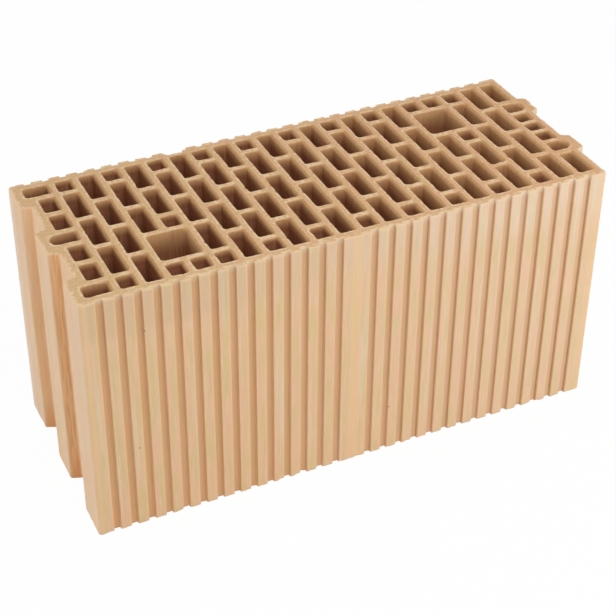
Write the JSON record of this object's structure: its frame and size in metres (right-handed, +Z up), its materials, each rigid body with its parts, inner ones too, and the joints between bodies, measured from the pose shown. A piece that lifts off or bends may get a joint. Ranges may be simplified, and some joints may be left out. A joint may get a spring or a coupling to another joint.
{
  "type": "clay brick",
  "caption": "Hollow fired clay building block with upright cells in offset columns, grip holes, ribbed long faces and tongue-and-groove ends.",
  "frame": {"origin": "middle of the block's bounding box, tongues included, on the bed face that it stands on", "axes": "+X along the block from the grooved end to the tongued end, +Y across it from the long face nearer the left grip hole, +Z up the cells"},
  "size_m": [0.5056, 0.2, 0.249],
  "materials": {
    "fired_clay": "matte"
  },
  "bodies": {
    "root": {"brick": "fired_clay"}
  },
  "joints": []
}
